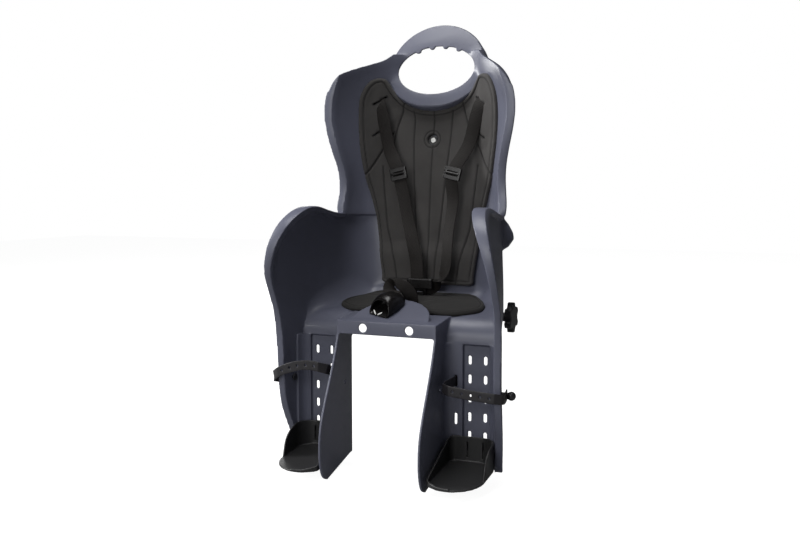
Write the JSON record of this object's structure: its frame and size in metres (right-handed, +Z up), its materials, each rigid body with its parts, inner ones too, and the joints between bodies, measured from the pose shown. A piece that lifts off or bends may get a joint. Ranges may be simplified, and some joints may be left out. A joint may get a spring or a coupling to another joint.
{
  "type": "child bike seat",
  "caption": "Rear child seat for a bicycle carrier: moulded shell with a carrying handle, pads, harness, sliding footrests and a clamp.",
  "frame": {"origin": "where the clamp bridge rests on the carrier, midway between the carrier's two tubes", "axes": "+X to the right as seen from the front, +Y to the rear of the seat, +Z up"},
  "size_m": [0.4466, 0.3768, 0.8048],
  "materials": {
    "shell_plastic": "satin moulded slate grey",
    "pad_fabric": "dark grey woven cover over foam",
    "rivet_metal": "bright pressed rivet",
    "webbing": "black woven webbing",
    "buckle_plastic": "black moulded buckle plastic",
    "steel": "zinc plated",
    "footrest_plastic": "black moulded",
    "strap_rubber": "black rubber",
    "stud_plastic": "black moulded",
    "clamp_plastic": "black glass filled plastic"
  },
  "bodies": {
    "seat": {"seat_shell": "shell_plastic", "back_pad": "pad_fabric", "seat_pad": "pad_fabric", "pad_rivet": "rivet_metal", "shoulder_strap_left": "webbing", "shoulder_strap_right": "webbing", "crotch_strap": "webbing", "strap_adjuster_left": "buckle_plastic", "strap_adjuster_right": "buckle_plastic", "buckle_tongue": "buckle_plastic", "buckle_socket": "buckle_plastic", "strap_anchor_left": "steel", "strap_anchor_right": "steel", "crotch_anchor": "steel", "clamp_nuts": "steel", "bridge_bolts": "steel", "bridge_washers": "steel", "bridge_nuts": "steel", "foot_strap_left": "strap_rubber", "foot_strap_right": "strap_rubber", "foot_strap_stud_left": "stud_plastic", "foot_strap_stud_right": "stud_plastic", "clamp_bridge": "clamp_plastic"},
    "footrest_left": {"footrest_left": "footrest_plastic"},
    "jaw_left": {"clamp_jaw_left": "clamp_plastic"},
    "knob_left": {"clamp_knob_left": "clamp_plastic", "clamp_screw_left": "steel"},
    "footrest_right": {"footrest_right": "footrest_plastic"},
    "jaw_right": {"clamp_jaw_right": "clamp_plastic"},
    "knob_right": {"clamp_knob_right": "clamp_plastic", "clamp_screw_right": "steel"}
  },
  "joints": [
    {"name": "footrest_slide_left", "type": "slide", "parent": "seat", "child": "footrest_left", "axis": [0, 0, 1], "range_m": [0, 0.0654]},
    {"name": "jaw_slide_left", "type": "slide", "parent": "seat", "child": "jaw_left", "axis": [-1, 0, 0], "range_m": [-0.002, 0.012]},
    {"name": "knob_turn_left", "type": "hinge", "parent": "jaw_left", "child": "knob_left", "pos_m": [-0.165, 0.038, 0.009], "axis": [1, 0, 0], "continuous": true},
    {"name": "footrest_slide_right", "type": "slide", "parent": "seat", "child": "footrest_right", "axis": [0, 0, 1], "range_m": [0, 0.0654]},
    {"name": "jaw_slide_right", "type": "slide", "parent": "seat", "child": "jaw_right", "axis": [1, 0, 0], "range_m": [-0.002, 0.012]},
    {"name": "knob_turn_right", "type": "hinge", "parent": "jaw_right", "child": "knob_right", "pos_m": [0.165, 0.038, 0.009], "axis": [1, 0, 0], "continuous": true}
  ]
}
